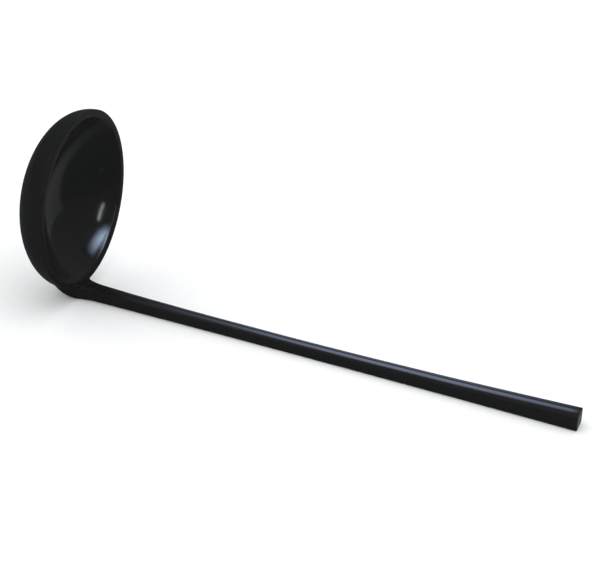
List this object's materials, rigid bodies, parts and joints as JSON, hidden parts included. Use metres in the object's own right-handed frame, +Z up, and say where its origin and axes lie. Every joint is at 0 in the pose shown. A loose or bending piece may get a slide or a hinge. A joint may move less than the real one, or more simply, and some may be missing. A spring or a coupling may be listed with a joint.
{
  "type": "wooden serving scoop",
  "caption": "Slim black-lacquered wooden ladle: a round shallow bowl pegged to the foot of a long straight handle, for scooping food from a deep pot.",
  "frame": {"origin": "centre of the scoop's box, on the surface that the flat underside of the handle lies on", "axes": "+X along the handle from the bowl to its cut end, +Y across the bowl, +Z up"},
  "size_m": [0.2258, 0.0716, 0.0771],
  "materials": {
    "bowl_lacquer": "deep black lacquer over turned wood, high gloss",
    "handle_lacquer": "deep black lacquer over straight-grained wood, gloss",
    "peg_bamboo": "split bamboo, its end sealed under the lacquer",
    "fillet_putty": "lacquer putty of wood flour, lacquered black"
  },
  "bodies": {
    "root": {"bowl": "bowl_lacquer", "handle": "handle_lacquer", "front_peg": "peg_bamboo", "rear_peg": "peg_bamboo", "seam_fillet": "fillet_putty"}
  },
  "joints": []
}
